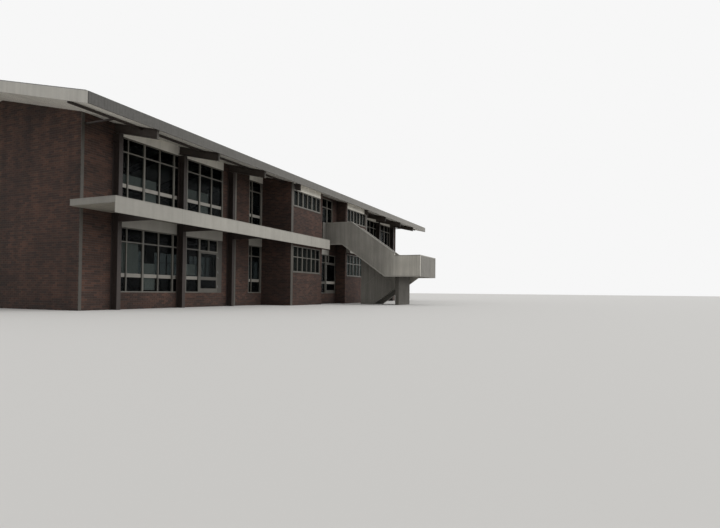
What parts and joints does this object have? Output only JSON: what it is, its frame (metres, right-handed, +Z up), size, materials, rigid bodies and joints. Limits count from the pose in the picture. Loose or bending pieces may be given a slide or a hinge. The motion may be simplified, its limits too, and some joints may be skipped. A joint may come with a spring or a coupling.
{
  "type": "two-storey school building",
  "caption": "Long two-storey school building with a low gable roof on raking beams, canopies and an outside stair with solid parapets.",
  "frame": {"origin": "middle of the overall box at ground level", "axes": "+X along the front from the near end to the far end, +Y from front to back, +Z up"},
  "size_m": [34.3, 19.01, 8.4868],
  "materials": {
    "brick": "rough red-brown facing brick",
    "concrete": "board-marked cast concrete",
    "steel_dark": "dark brown paint, slightly glossy",
    "frame_paint": "grey painted joinery",
    "pale_paint": "off-white painted boards",
    "fascia_paint": "dark grey painted boards",
    "glazing": "clear window glass",
    "canopy_board": "pale painted fascia boards",
    "soffit_board": "painted narrow boards",
    "roofing": "dull grey ribbed roof sheet",
    "stair_boards": "weathered grey boards",
    "door_paint": "grey painted door joinery",
    "hinge_steel": "dull steel"
  },
  "bodies": {
    "building": {"ground_floor_slab": "concrete", "upper_floor_slab": "concrete", "end_walls": "brick", "front_wall_piers": "brick", "front_wall_bands": "brick", "block_side_walls": "brick", "rear_wall_bands": "brick", "rear_wall_piers": "brick", "rear_window_frames": "frame_paint", "rear_window_glass": "glazing", "door_jambs": "frame_paint", "door_top_lights": "frame_paint", "far_wing_door": "door_paint", "jamb_hinges": "hinge_steel", "columns": "steel_dark", "corner_strips": "fascia_paint", "front_window_frames": "frame_paint", "front_window_glass": "glazing", "window_rails": "pale_paint", "head_panels": "pale_paint", "canopy_decks": "roofing", "canopy_soffits": "soffit_board", "canopy_fascias": "canopy_board", "canopy_beams": "steel_dark", "roof_slopes": "roofing", "soffit_lining": "soffit_board", "ridge_cap": "roofing", "eave_fascias": "fascia_paint", "verge_boards": "pale_paint", "roof_beams": "steel_dark", "eaves_purlins": "steel_dark", "stair_landings": "concrete", "upper_flight": "concrete", "lower_flight": "concrete", "outer_parapet": "stair_boards", "far_parapet": "stair_boards", "inner_parapet": "stair_boards", "front_parapet": "stair_boards", "stair_pier": "concrete"},
    "front_door": {"front_door_leaf": "door_paint", "front_door_glass": "glazing", "front_door_hinges": "hinge_steel"},
    "recess_door": {"recess_door_leaf": "door_paint", "recess_door_glass": "glazing", "recess_door_hinges": "hinge_steel"}
  },
  "joints": [
    {"name": "front_door_hinge", "type": "hinge", "parent": "building", "child": "front_door", "pos_m": [-8.4625, -1.937, 0.66], "axis": [0, 0, 1], "range_deg": [0, 95]},
    {"name": "recess_door_hinge", "type": "hinge", "parent": "building", "child": "recess_door", "pos_m": [0.2525, -3.117, 0.66], "axis": [0, 0, -1], "range_deg": [0, 90]}
  ]
}
